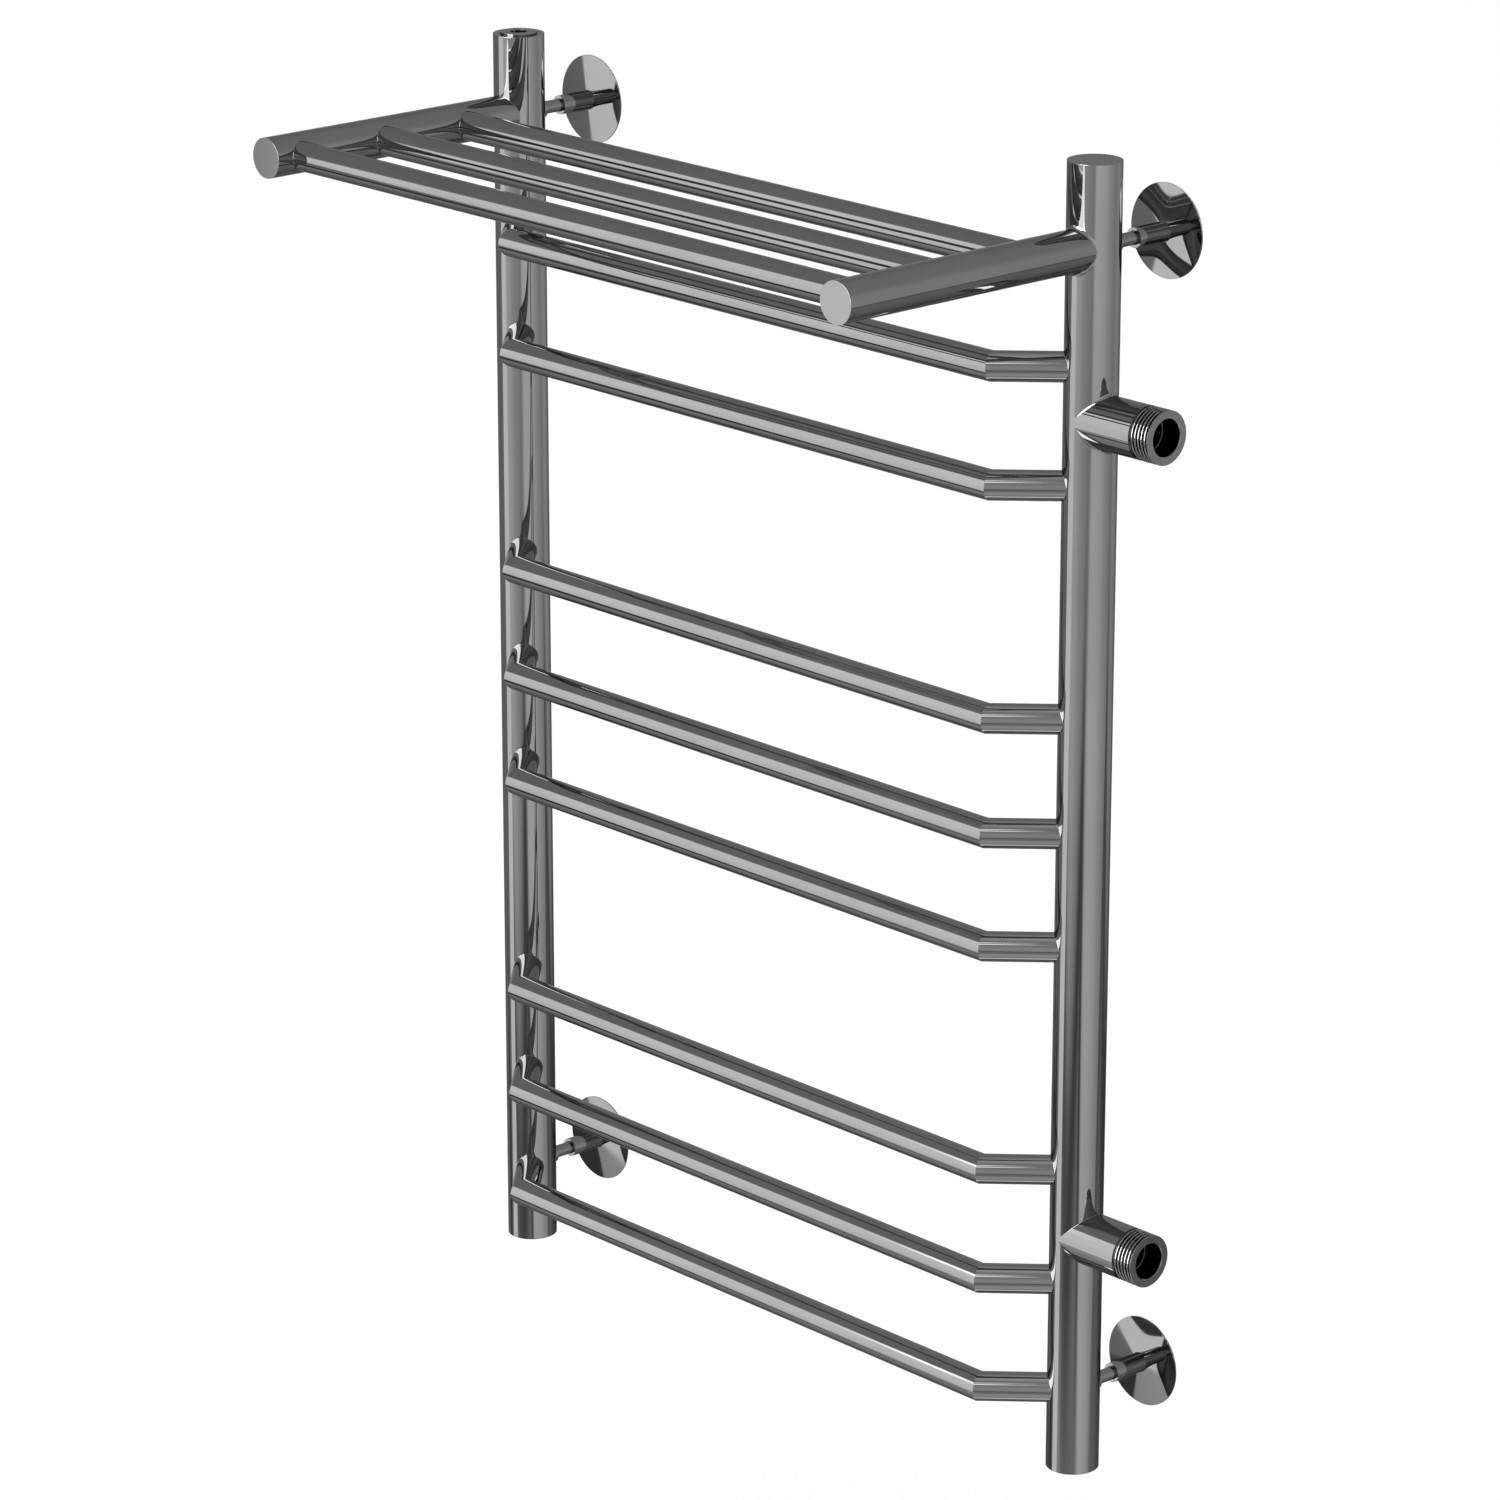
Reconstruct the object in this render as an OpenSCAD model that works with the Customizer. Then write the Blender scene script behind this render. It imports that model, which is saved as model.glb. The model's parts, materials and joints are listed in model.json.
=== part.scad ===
// Water-heated ladder towel rail: two posts, eight trapezoidal rungs, a three-rail shelf,
// two side outlets, four telescopic wall brackets and an air-bleed valve in the left post.
// The origin is on the wall plane, midway between the four wall fixings.
// +X is to the right, +Y goes into the wall and +Z is up.

/* [Posts] */
// Distance between the axes of the two posts
post_spacing = 500; // [400:50:600]
// Height of the posts from end to end
post_height = 800; // [780:10:1000]
// Outside diameter of the posts and the side outlets
post_d = 32; // [30:1:34]
// Wall thickness of the posts and the side outlets
post_wall = 2; // [1.5:0.5:2.5]

/* [Rungs] */
// Outside diameter of the rungs and the shelf rails
rung_d = 18; // [16:1:20]
// Wall thickness of the rungs and the shelf rails
rung_wall = 1.5; // [1:0.5:2]
// Height from one rung slot to the next
rung_pitch = 70; // [60:5:70]
// Distance from the post axes forward to the rung bars
rung_forward = 40; // [35:5:50]
// Height of the lowest rung above the foot of the posts
first_rung = 50; // [40:5:60]

/* [Shelf] */
// Outside diameter of the two shelf arms
arm_d = 25; // [22:1:28]
// Distance from the post axes to the front faces of the arms
arm_reach = 200; // [200:10:260]
// Distance from the post axes to the rear shelf rail
rear_rail = 50; // [45:5:60]
// Distance from one shelf rail to the next
rail_pitch = 65; // [55:5:65]
// Depth of the shelf axis below the post tops
shelf_drop = 50; // [40:5:60]

/* [Side outlets] */
// Distance between the two outlet axes
outlet_spacing = 500; // [400:50:500]
// Distance from the right post axis to the mouth of an outlet
outlet_reach = 60; // [50:5:80]
// Length of the threaded end of an outlet
nipple_length = 15; // [12:1:18]
// Diameter of the waterway through the threaded end
nipple_bore = 22; // [18:1:24]

/* [Wall brackets] */
// Distance from the wall to the post axes
stand_off = 60; // [55:5:75]
// Distance of the bracket axes from the ends of the posts
bracket_inset = 50; // [40:5:60]
// Diameter of the sleeve that is screwed to the wall
sleeve_d = 12; // [12:1:14]
// Length of the sleeve
sleeve_length = 27.5; // [26:0.5:30]
// Diameter of the telescopic stud
stud_d = 8; // [6:1:8]
// Diameter of the conical rosette
rosette_d = 56; // [45:1:60]
// Height of the rosette from its rim to its opening
rosette_height = 3.5; // [3:0.5:8]

/* [Bleed valve] */
// Diameter of the valve flange on top of the left post
flange_d = 23; // [22.5:0.5:26]
// Height of the valve flange
flange_height = 1; // [1:0.5:2]
// Diameter of the key bore
key_bore_d = 10.5; // [10:0.5:12]
// Depth of the key bore below the post top
key_bore_depth = 9; // [8:1:10]

/* [Hidden] */
$fn = 96;

post_x = post_spacing / 2;
post_y = -stand_off;
post_bore = post_d - 2 * post_wall;
post_top = post_height / 2;
post_foot = -post_height / 2;

// Clearance at a welded or screwed joint, so that neighbouring solids touch without overlap
seam = 0.02;
// Radial clearance of a running fit
running = 0.05;
// Overlength of a cutting tool
over = 1;

cap_thickness = 2;
spigot_length = 3;

// Rung slots counted upwards from the lowest rung: groups of two, three and three from the top
rung_slots = [9, 8, 6, 5, 4, 2, 1, 0];
rung_count = len(rung_slots);
rung_bore = rung_d - 2 * rung_wall;
rung_y = post_y - rung_forward;
bend_x = post_x - rung_forward;
leg_length = rung_forward * sqrt(2);
leg_angle = 45;
// Ports in the post walls are slightly narrower than the tubes that are welded over them
port_shrink = 1;

arm_bore = arm_d - 2 * post_wall;
arm_front = post_y - arm_reach;
shelf_z = post_top - shelf_drop;
rail_names = ["rear", "middle", "front"];

nipple_x = post_x + outlet_reach - nipple_length;
// Run-out groove behind the external thread, whose crests are flush with the tube
runout_width = 1.5;
runout_depth = 0.85;
outlet_names = ["upper", "lower"];

bracket_x = post_x;
bracket_z = post_top - bracket_inset;
corner_names = ["upper_left", "upper_right", "lower_left", "lower_right"];
corner_places = [[-1, 1], [1, 1], [-1, -1], [1, -1]];

// The boss reaches this far behind and in front of the rear wall of its post
boss_d = 12;
boss_behind = 2.5;
boss_length = 14.5;
boss_end = stand_off - post_d / 2 - boss_behind;
stud_tip = 13.5;
stud_seat = 11;
sleeve_floor = 3.5;
base_d = 24;
base_thickness = 1.6;
wall_screw_d = 5;
edge_break = 0.3;
rosette_rim = 0.8;
rosette_skin = 0.8;
grub_d = 4;
grub_from_mouth = 5;
grub_recess = 0.1;
grub_socket = 2;
grub_socket_depth = 1.1;

// Bleed valve: heights are measured down from the top of the post
bush_height = 12;
valve_thread_d = 20.955;
gland_d = 22;
gland_depth = 2;
neck_d = 18;
valve_depth = 20;
needle_d = 6;
needle_top = 6;
chamber_bottom = 16;
seat_bore_d = 2;
seat_gap = 0.07;
slot_width = 1;
slot_depth = 1.5;
groove_top = 11.6;
groove_height = 1.4;
groove_d = 4.4;
needle_seal_end = 13.6;
stem_d = 4.4;
tip_d = 1;
vent_d = 1.5;
vent_offset = 4.25;
vent_height = 15;
seal_r = 0.4;
flange_seal_r = 0.95;

// ---- helpers ----

// Height of a rung's axis
function rung_z(i) = post_foot + first_rung + rung_slots[i] * rung_pitch;

// Height of an outlet's axis: 0 is the upper one, 1 the lower one
function outlet_z(k) = (k == 0 ? 1 : -1) * outlet_spacing / 2;

// Depth of a shelf rail's axis: 0 is the rear one
function rail_y(k) = post_y - rear_rail - k * rail_pitch;

// A tube or a rod along +X, -Y or +Z from the origin
module to_x() { rotate([0, 90, 0]) children(); }
module to_front() { rotate([90, 0, 0]) children(); }

module tube(outer, inner, length) {
    difference() {
        cylinder(d = outer, h = length);
        translate([0, 0, -over]) cylinder(d = inner, h = length + 2 * over);
    }
}

// The space that a post fills, for coping what is welded to it
module post_space(side) {
    translate([side * post_x, post_y, post_foot - over])
        cylinder(d = post_d + 2 * seam, h = post_height + 2 * over);
}

// The space that a shelf arm fills
module arm_space(side) {
    translate([side * post_x, post_y, shelf_z])
        to_front() cylinder(d = arm_d + 2 * seam, h = arm_reach + over);
}

// ---- posts ----

module leg_axis(i) {
    translate([bend_x, rung_y, rung_z(i)]) rotate([0, 0, leg_angle]) to_x() children();
}

module post_blank(z_low, z_high) {
    difference() {
        translate([post_x, post_y, z_low]) tube(post_d, post_bore, z_high - z_low);
        for (i = [0 : rung_count - 1])
            leg_axis(i) cylinder(d = rung_bore - port_shrink, h = leg_length);
        translate([post_x, post_y, shelf_z])
            to_front() cylinder(d = arm_bore - port_shrink, h = post_d);
        for (end = [-1, 1])
            translate([post_x, post_y, end * bracket_z])
                rotate([-90, 0, 0]) cylinder(d = boss_d + 2 * seam, h = post_d);
    }
}

module left_post() {
    color("gainsboro") mirror([1, 0, 0])
        post_blank(post_foot + cap_thickness, post_top - bush_height);
}

module right_post() {
    color("gainsboro") difference() {
        post_blank(post_foot + cap_thickness, post_top - cap_thickness);
        for (k = [0, 1])
            translate([post_x, post_y, outlet_z(k)])
                to_x() cylinder(d = post_bore - 2 * port_shrink, h = post_d);
    }
}

// A flush end cap with a short spigot, its outer face at z = 0 and the tube below it
module end_cap(outer, inner) {
    translate([0, 0, -cap_thickness]) cylinder(d = outer, h = cap_thickness);
    translate([0, 0, -cap_thickness - spigot_length])
        cylinder(d = inner - 2 * seam, h = spigot_length + cap_thickness / 2);
}

module right_top_cap() {
    color("silver") translate([post_x, post_y, post_top]) end_cap(post_d, post_bore);
}

module bottom_cap(side) {
    color("silver") translate([side * post_x, post_y, post_foot])
        rotate([180, 0, 0]) end_cap(post_d, post_bore);
}

module valve_bush() {
    color("silver") translate([-post_x, post_y, post_top]) difference() {
        union() {
            translate([0, 0, -bush_height]) cylinder(d = post_d, h = bush_height);
            translate([0, 0, -bush_height - spigot_length])
                cylinder(d = post_bore - 2 * seam, h = spigot_length + over);
        }
        translate([0, 0, -bush_height - spigot_length - over])
            cylinder(d = valve_thread_d, h = bush_height + spigot_length + 2 * over);
        translate([0, 0, -gland_depth]) cylinder(d = gland_d, h = gland_depth + over);
    }
}

// ---- rungs ----

// One side of the mitre plane at the right-hand bend: which = 1 keeps the leg, -1 the bar
module mitre_side(i, which) {
    size = post_spacing + leg_length;
    translate([bend_x, rung_y, rung_z(i)]) rotate([0, 0, leg_angle / 2])
        translate([which * (size / 2 + seam / 2), 0, 0]) cube([size, size, 2 * rung_d], center = true);
}

module rung_bar(i) {
    color("lightgray") intersection() {
        translate([-bend_x - rung_d, rung_y, rung_z(i)])
            to_x() tube(rung_d, rung_bore, 2 * (bend_x + rung_d));
        mitre_side(i, -1);
        mirror([1, 0, 0]) mitre_side(i, -1);
    }
}

module right_leg(i) {
    difference() {
        intersection() {
            leg_axis(i) translate([0, 0, -rung_d]) tube(rung_d, rung_bore, leg_length + rung_d);
            mitre_side(i, 1);
        }
        post_space(1);
    }
}

module rung_legs(i) {
    color("lightgray") {
        right_leg(i);
        mirror([1, 0, 0]) right_leg(i);
    }
}

// ---- shelf ----

module right_arm() {
    difference() {
        translate([post_x, post_y, shelf_z]) to_front() tube(arm_d, arm_bore, arm_reach - cap_thickness);
        post_space(1);
        for (k = [0 : len(rail_names) - 1])
            translate([post_x, rail_y(k), shelf_z])
                rotate([0, -90, 0]) cylinder(d = rung_bore - port_shrink, h = arm_d);
    }
}

module shelf_arm(side) {
    color("gainsboro") mirror([side < 0 ? 1 : 0, 0, 0]) right_arm();
}

module arm_cap(side) {
    color("silver") translate([side * post_x, arm_front, shelf_z])
        to_front() end_cap(arm_d, arm_bore);
}

module shelf_rail(k) {
    color("lightgray") difference() {
        translate([-post_x, rail_y(k), shelf_z]) to_x() tube(rung_d, rung_bore, post_spacing);
        arm_space(1);
        arm_space(-1);
    }
}

// ---- side outlets ----

module outlet_tube(k) {
    color("gainsboro") difference() {
        translate([post_x, post_y, outlet_z(k)]) to_x() tube(post_d, post_bore, nipple_x - post_x);
        post_space(1);
    }
}

module outlet_nipple(k) {
    color("silver") translate([nipple_x, post_y, outlet_z(k)]) to_x() {
        tube(post_d - 2 * runout_depth, nipple_bore, nipple_length);
        translate([0, 0, runout_width]) tube(post_d, nipple_bore, nipple_length - runout_width);
    }
}

// ---- wall brackets ----

// Local +Z points from the wall into the room and local +Y points up
module from_wall(c) {
    translate([corner_places[c][0] * bracket_x, 0, corner_places[c][1] * bracket_z])
        to_front() children();
}

module bracket_boss(c) {
    color("silver") from_wall(c) difference() {
        translate([0, 0, boss_end]) cylinder(d = boss_d, h = boss_length);
        translate([0, 0, boss_end - over]) cylinder(d = stud_d + 2 * seam, h = stud_seat + over + seam);
    }
}

module bracket_stud(c) {
    length = boss_end + stud_seat - stud_tip;
    color("lightslategray") from_wall(c) translate([0, 0, stud_tip]) rotate_extrude()
        polygon([
            [0, 0],
            [stud_d / 2 - edge_break, 0],
            [stud_d / 2, edge_break],
            [stud_d / 2, length],
            [0, length]
        ]);
}

module bracket_sleeve(c) {
    color("silver") from_wall(c) difference() {
        rotate_extrude() polygon([
            [0, 0],
            [base_d / 2, 0],
            [base_d / 2, base_thickness],
            [sleeve_d / 2, base_thickness],
            [sleeve_d / 2, sleeve_length],
            [0, sleeve_length]
        ]);
        translate([0, 0, sleeve_floor]) cylinder(d = stud_d + 2 * running, h = sleeve_length);
        translate([0, 0, -over]) cylinder(d = wall_screw_d, h = sleeve_floor + 2 * over);
        translate([0, 0, sleeve_length - grub_from_mouth])
            to_front() cylinder(d = grub_d, h = sleeve_d);
    }
}

module rosette(c) {
    opening = sleeve_d / 2 + running;
    rim = rosette_d / 2;
    slope = (rosette_height - rosette_rim) / (rim - opening);
    color("gainsboro") from_wall(c) rotate_extrude() polygon([
        [opening, rosette_height],
        [rim, rosette_rim],
        [rim, 0],
        [rim - rosette_skin, 0],
        [rim - rosette_skin, rosette_rim - rosette_skin * (1 - slope)],
        [opening, rosette_height - rosette_skin]
    ]);
}

module grub_screw(c) {
    inner = stud_d / 2 + running;
    length = sleeve_d / 2 - grub_recess - inner;
    color("dimgray") from_wall(c) translate([0, -inner, sleeve_length - grub_from_mouth])
        to_front() difference() {
            cylinder(d = grub_d - 2 * running, h = length);
            translate([0, 0, length - grub_socket_depth])
                cylinder(d = grub_socket / cos(30), h = grub_socket_depth + over, $fn = 6);
        }
}

// ---- bleed valve ----

module at_valve() { translate([-post_x, post_y, post_top]) children(); }

module bleed_valve_body() {
    shank_r = valve_thread_d / 2 - seam;
    chamber_r = needle_d / 2 + running;
    seat_r = seat_bore_d / 2;
    color("silver") at_valve() difference() {
        rotate_extrude() polygon([
            [seat_r, -valve_depth],
            [shank_r, -valve_depth],
            [shank_r, -gland_depth],
            [neck_d / 2, -gland_depth],
            [neck_d / 2, 0],
            [flange_d / 2, 0],
            [flange_d / 2, flange_height],
            [key_bore_d / 2, flange_height],
            [key_bore_d / 2, -key_bore_depth],
            [chamber_r, -key_bore_depth],
            [chamber_r, -chamber_bottom],
            [seat_r, -chamber_bottom - chamber_r + seat_r]
        ]);
        translate([vent_offset, 0, -vent_height]) cylinder(d = vent_d, h = vent_height - key_bore_depth + over);
        translate([0, 0, -vent_height]) to_x() cylinder(d = vent_d, h = vent_offset);
    }
}

module bleed_valve_seal() {
    color("black") at_valve() translate([0, 0, -gland_depth / 2]) rotate_extrude()
        translate([(neck_d + gland_d) / 4, 0]) circle(r = flange_seal_r);
}

module bleed_needle_seal() {
    wall = groove_d / 2;
    color("black") at_valve() translate([0, 0, -groove_top - groove_height / 2]) rotate_extrude()
        translate([wall + seam + seal_r, 0]) circle(r = seal_r);
}

module bleed_needle() {
    thread_r = needle_d / 2;
    // At the closed position the tip's cone is parallel to the seat's cone, seat_gap inside it
    cone_top = chamber_bottom + thread_r + running - stem_d / 2 - seat_gap;
    cone_bottom = cone_top + (stem_d - tip_d) / 2;
    color("goldenrod") at_valve() difference() {
        rotate_extrude() polygon([
            [0, -cone_bottom],
            [tip_d / 2, -cone_bottom],
            [stem_d / 2, -cone_top],
            [stem_d / 2, -needle_seal_end],
            [thread_r, -needle_seal_end],
            [thread_r, -groove_top - groove_height],
            [groove_d / 2, -groove_top - groove_height],
            [groove_d / 2, -groove_top],
            [thread_r, -groove_top],
            [thread_r, -needle_top],
            [0, -needle_top]
        ]);
        translate([0, 0, -needle_top]) cube([needle_d + over, slot_width, 2 * slot_depth], center = true);
    }
}

// ---- nodes ----

left_post();
right_post();
valve_bush();
right_top_cap();
bottom_cap(-1);  // left_bottom_cap
bottom_cap(1);  // right_bottom_cap

for (i = [0 : rung_count - 1]) {
    rung_bar(i);
    rung_legs(i);
}

shelf_arm(-1);  // left_shelf_arm
shelf_arm(1);  // right_shelf_arm
arm_cap(-1);  // left_arm_cap
arm_cap(1);  // right_arm_cap
for (k = [0 : len(rail_names) - 1])
    shelf_rail(k);

for (k = [0 : len(outlet_names) - 1]) {
    outlet_tube(k);
    outlet_nipple(k);
}

for (c = [0 : len(corner_names) - 1]) {
    bracket_boss(c);
    bracket_stud(c);
    bracket_sleeve(c);
    rosette(c);
    grub_screw(c);
}

bleed_valve_body();
bleed_valve_seal();
bleed_needle_seal();
bleed_needle();
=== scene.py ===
import json
import math

import bmesh
import bpy
import numpy as np
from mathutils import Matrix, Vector


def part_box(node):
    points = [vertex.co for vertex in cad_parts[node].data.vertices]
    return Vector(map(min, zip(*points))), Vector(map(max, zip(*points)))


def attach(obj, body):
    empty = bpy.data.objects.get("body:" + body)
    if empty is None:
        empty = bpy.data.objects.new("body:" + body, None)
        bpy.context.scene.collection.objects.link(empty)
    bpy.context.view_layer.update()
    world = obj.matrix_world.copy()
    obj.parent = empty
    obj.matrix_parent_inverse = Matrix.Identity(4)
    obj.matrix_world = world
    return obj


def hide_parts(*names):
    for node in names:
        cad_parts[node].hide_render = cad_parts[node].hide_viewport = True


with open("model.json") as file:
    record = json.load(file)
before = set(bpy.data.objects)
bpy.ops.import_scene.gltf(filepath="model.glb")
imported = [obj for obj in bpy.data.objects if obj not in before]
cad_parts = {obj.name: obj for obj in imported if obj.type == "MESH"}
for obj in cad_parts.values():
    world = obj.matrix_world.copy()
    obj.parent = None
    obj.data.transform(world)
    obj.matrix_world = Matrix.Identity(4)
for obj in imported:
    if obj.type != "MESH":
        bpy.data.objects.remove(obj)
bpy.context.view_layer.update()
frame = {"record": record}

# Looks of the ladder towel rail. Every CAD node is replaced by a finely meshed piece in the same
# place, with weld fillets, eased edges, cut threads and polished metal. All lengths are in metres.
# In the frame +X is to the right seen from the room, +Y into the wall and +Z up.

MM = 0.001
AROUND = 160            # facets round a tube
SMALL_AROUND = 96       # facets round a hole or a small part
ROSETTE_AROUND = 192    # facets round a rosette
OUTLET_AROUND = 256     # facets round an outlet tube, which has the finest weld
THREAD_AROUND = 192     # facets round a thread
THREAD_RINGS = 20       # rings for each turn of a thread
ARC_STEPS = 5           # facets round an eased edge
WELD_STEPS = 10         # facets across a ground weld
SHARP_ANGLE = 32        # degrees between faces that shade as a hard edge

RECORD = frame["record"]
BODY_OF = {node: body for body, nodes in RECORD["behaviour"]["bodies"].items() for node in nodes}
SLOT_OF = {part["node"]: part["material_slot"] for part in RECORD["subparts"]}
CORNERS = ("upper_left", "upper_right", "lower_left", "lower_right")
OUTLETS = ("upper", "lower")
RUNGS = range(1, 9)
X, Y, Z = np.eye(3)


# ---- places taken from the frame ----

def box_of(node):
    low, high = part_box(node)
    return np.array(low), np.array(high)


def middle(node):
    low, high = box_of(node)
    return (low + high) / 2


def half_size(node):
    low, high = box_of(node)
    return (high - low) / 2


POST_R = half_size("right_post")[0]
POST_X, POST_Y = middle("right_post")[:2]
POST_TOP = box_of("right_top_cap")[1][2]
RUNG_R = half_size("rung_1")[2]
RUNG_Y = middle("rung_1")[1]
BEND_X = POST_X - (POST_Y - RUNG_Y)         # the legs lie at 45 degrees
ARM_R = half_size("right_shelf_arm")[2]
SHELF_Z = middle("right_shelf_arm")[2]
ARM_FRONT = box_of("right_arm_cap")[0][1]

# ---- sizes that the frame's boxes don't show ----

POST_WALL = 2 * MM      # also that of the arms and outlets
RUNG_WALL = 1.5 * MM    # also that of the shelf rails
CAP = 2 * MM            # thickness of an end cap's disc
SPIGOT = 3 * MM         # how far a cap's spigot reaches into the tube
SLEEVE_R = 6 * MM       # radius of a bracket's sleeve
SEAM = 0.02 * MM        # between parts that are joined
SLIDE_GAP = 0.05 * MM   # between parts that slide
SAME_POINT = 0.0005 * MM    # vertices nearer to each other than this become one
FINE_EASE = 0.12 * MM
EASE = 0.15 * MM
WIDE_EASE = 0.2 * MM
STUD_EASE = 0.3 * MM
FLUSH_WELD = 0.2 * MM   # ball radius of a weld that is ground flush
BOSS_WELD = 0.5 * MM
OUTLET_WELD = 2 * MM
ARM_WELD = 2.5 * MM
WELD_OVERLAP = 0.2 * MM     # how far a weld's skin reaches into the tube that it joins
PORT_SHRINK = 1 * MM    # how much narrower the posts' ports are than the tubes' bores
THREAD_PITCH = 2.5 * MM
THREAD_DEPTH = 1.7 * MM
THREAD_SHARE = 0.48     # share of the pitch that the ridge takes
RIDGE_ROUNDING = 0.35   # share of the depth that a ridge's crest is rounded by
NIPPLE_BORE_R = 11 * MM
RUNOUT = 1.5 * MM       # length of the groove behind the outlets' threads


# ---- mesh building ----

def unit(v):
    return v / np.linalg.norm(v)


def side_axes(direction):
    """Two unit vectors square to a direction and to each other."""
    helper = Z if abs(direction[2]) < 0.9 else X
    first = unit(np.cross(helper, direction))
    return first, np.cross(direction, first)


def spokes(direction, count=AROUND):
    """Unit vectors round a direction, one for each facet edge."""
    first, second = side_axes(direction)
    angle = np.linspace(0, 2 * math.pi, count, endpoint=False)[:, None]
    return np.cos(angle) * first + np.sin(angle) * second


def shell(rings, closed):
    """Vertices and faces of the skin through a row of rings; a ring of one point is a pole."""
    verts, faces, starts = [], [], []
    for ring in rings:
        starts.append(len(verts))
        verts.extend(np.atleast_2d(ring).tolist())
    count = max(len(np.atleast_2d(ring)) for ring in rings)
    pairs = list(zip(range(len(rings) - 1), range(1, len(rings))))
    if closed:
        pairs.append((len(rings) - 1, 0))
    for a, b in pairs:
        pole_a = len(np.atleast_2d(rings[a])) == 1
        pole_b = len(np.atleast_2d(rings[b])) == 1
        for i in range(count):
            j = (i + 1) % count
            if pole_a:
                faces.append((starts[a], starts[b] + j, starts[b] + i))
            elif pole_b:
                faces.append((starts[a] + i, starts[a] + j, starts[b]))
            else:
                faces.append((starts[a] + i, starts[a] + j, starts[b] + j, starts[b] + i))
    return verts, faces


def merged(shells):
    """Several skins as one."""
    verts, faces = [], []
    for more_verts, more_faces in shells:
        offset = len(verts)
        verts += more_verts
        faces += [tuple(i + offset for i in face) for face in more_faces]
    return verts, faces


def arc_cosine(value):
    return math.acos(max(-1, min(1, value)))


def eased(points, radius, closed=False, keep=()):
    """A profile whose corners are rounded, with support points beside each arc; keep lists sharp corners."""
    side_share, arc_share, support_share = 0.42, 0.8, 0.3
    almost_flat = math.radians(85)
    points = [np.array(p, float) for p in points]
    last = len(points) - 1
    out = []
    for i, corner in enumerate(points):
        if i in keep or (not closed and i in (0, last)):
            out.append(corner)
            continue
        before = points[i - 1] - corner
        after = points[(i + 1) % len(points)] - corner
        reach = side_share * min(np.linalg.norm(before), np.linalg.norm(after))
        before, after = unit(before), unit(after)
        half = arc_cosine(before @ after) / 2
        if half > almost_flat:
            out.append(corner)
            continue
        r = min(radius, reach * math.tan(half) * arc_share)
        setback = r / math.tan(half)
        support = min(support_share * r, reach - setback)
        centre = corner + unit(before + after) * r / math.sin(half)
        first = corner + before * setback - centre
        final = corner + after * setback - centre
        sweep = arc_cosine(first @ final / r ** 2)
        out.append(corner + before * (setback + support))
        for k in range(ARC_STEPS + 1):
            t = k / ARC_STEPS
            between = math.sin((1 - t) * sweep) * first + math.sin(t * sweep) * final
            out.append(centre + between / math.sin(sweep))
        out.append(corner + after * (setback + support))
    return out


def turned(origin, axis, profile, closed=False, count=AROUND):
    """The skin of a profile of (radius, height) points turned round an axis."""
    around = spokes(axis, count)
    rings = []
    for radius, height in profile:
        centre = origin + height * axis
        rings.append(centre[None, :] if radius < 1e-9 else centre + radius * around)
    return shell(rings, closed)


def smooth(value, low, high):
    """0 up to low and 1 from high, with a soft rise between them."""
    t = np.clip((value - low) / (high - low), 0, 1)
    return t * t * (3 - 2 * t)


# ---- tube ends: each returns rings from the outer wall round to the inner wall ----

def on_plane(points, direction, point, normal):
    """Where lines along a direction meet a plane."""
    return points + direction * (((point - points) @ normal) / (direction @ normal))[:, None]


def on_cylinder(points, direction, host, radius):
    """Where lines along a direction first meet a host cylinder, given as (point, axis)."""
    base, axis = host
    offset = points - base
    offset = offset - np.outer(offset @ axis, axis)
    along = direction - (direction @ axis) * axis
    a = along @ along
    b = offset @ along
    c = (offset ** 2).sum(1) - radius ** 2
    return points - direction * ((b + np.sqrt(np.maximum(b * b - a * c, 0))) / a)[:, None]


def butt_end(centre, direction, around, outer, inner):
    return [centre + around * outer, centre + around * inner]


def eased_end(centre, direction, around, outer, inner):
    """A square end with eased edges."""
    profile = eased([(outer, -MM), (outer, 0), (inner, 0), (inner, -MM)], WIDE_EASE)
    return [centre + direction * height + around * radius for radius, height in profile]


def mitre_end(point, normal):
    def end(centre, direction, around, outer, inner):
        return [on_plane(centre + around * r, direction, point, normal) for r in (outer, inner)]
    return end


def welded_end(host, host_radius, fillet=FLUSH_WELD):
    """A coped end whose ground weld has the surface that a ball leaves when it rolls round the corner."""
    def end(centre, direction, around, outer, inner):
        base, axis = host
        lines = centre - direction + around * (outer + fillet)
        balls = on_cylinder(lines, direction, host, host_radius + fillet)
        to_host = base - balls
        to_host = to_host - np.outer(to_host @ axis, axis)
        to_host /= np.linalg.norm(to_host, axis=1)[:, None]
        lead_in = 0.15 * fillet + 0.05 * MM     # a support ring on the tube before the weld
        rings = [balls - around * fillet - direction * lead_in]
        for k in range(WELD_STEPS + 1):
            toward = (1 - k / WELD_STEPS) * -around + k / WELD_STEPS * to_host
            rings.append(balls + fillet * toward / np.linalg.norm(toward, axis=1)[:, None])
        rings.append(rings[-1] + to_host * WELD_OVERLAP)
        inside = on_cylinder(centre - direction + around * inner, direction, host, host_radius)
        rings.append(inside + direction * WELD_OVERLAP)
        return rings
    return end


def tube(start, finish, outer, inner, start_end=butt_end, finish_end=butt_end, count=AROUND):
    """The closed skin of a tube between two points, with the given ends."""
    direction = unit(finish - start)
    around = spokes(direction, count)
    rings = start_end(start, -direction, around, outer, inner)[::-1]
    rings += finish_end(finish, direction, around, outer, inner)
    return shell(rings, True)


# ---- pieces ----

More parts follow.
